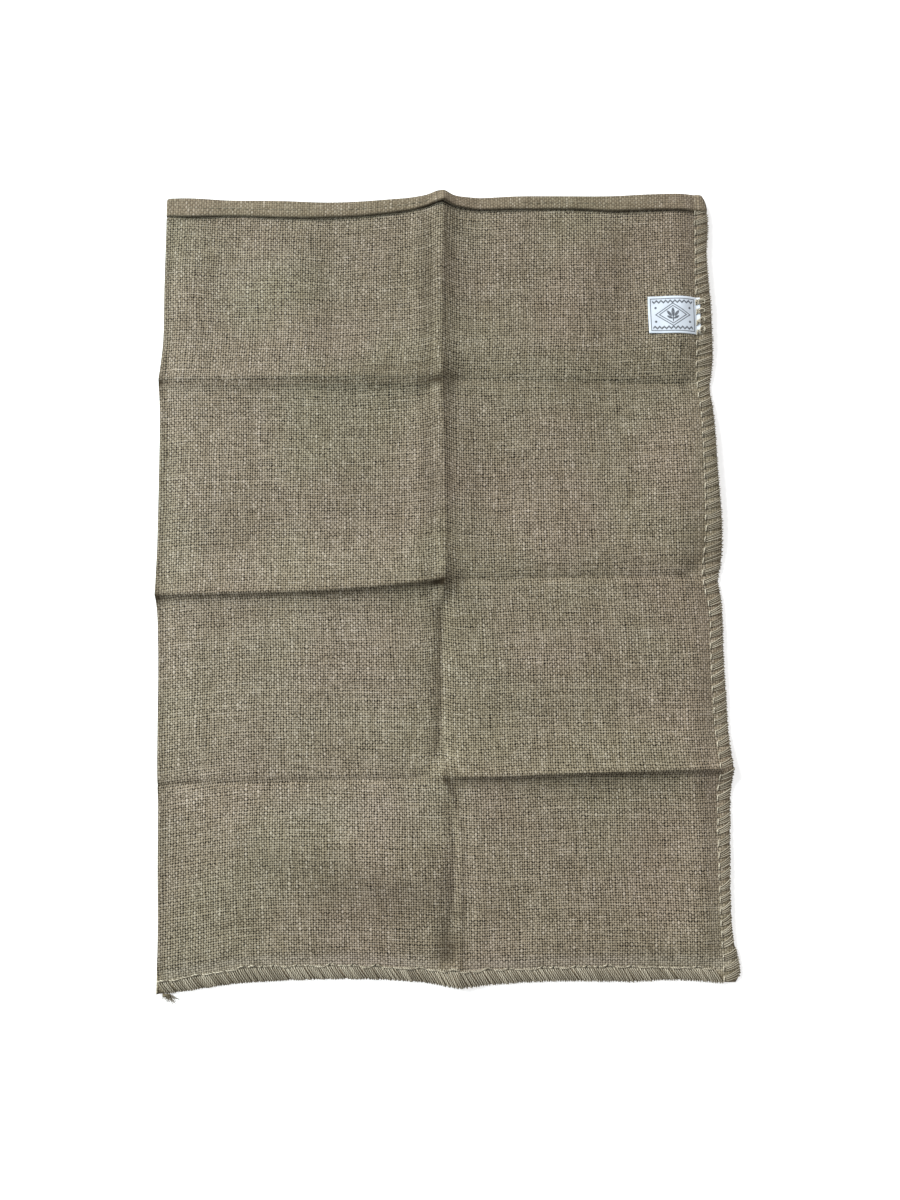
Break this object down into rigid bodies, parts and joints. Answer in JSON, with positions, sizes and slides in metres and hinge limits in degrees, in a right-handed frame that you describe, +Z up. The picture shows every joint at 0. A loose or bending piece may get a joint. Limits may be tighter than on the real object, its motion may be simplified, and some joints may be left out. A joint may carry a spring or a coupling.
{
  "type": "jute sack",
  "caption": "Empty jute hessian sack lying flat with packing creases, a hemmed open mouth, oversewn side and bottom seams and a small woven label.",
  "frame": {"origin": "middle of the underside's bounding box, on the surface that the sack lies on", "axes": "+X across the sack towards its oversewn side seam, +Y along the sack towards its mouth, +Z up"},
  "size_m": [0.5112, 0.7224, 0.0166],
  "materials": {
    "hessian": "plain-weave natural jute, matt and slightly hairy",
    "label_cloth": "white woven polyester, faint sheen",
    "twine": "loosely plied jute twine, frayed"
  },
  "bodies": {
    "root": {"sack": "hessian", "label": "label_cloth", "seam_tail": "twine"}
  },
  "joints": []
}
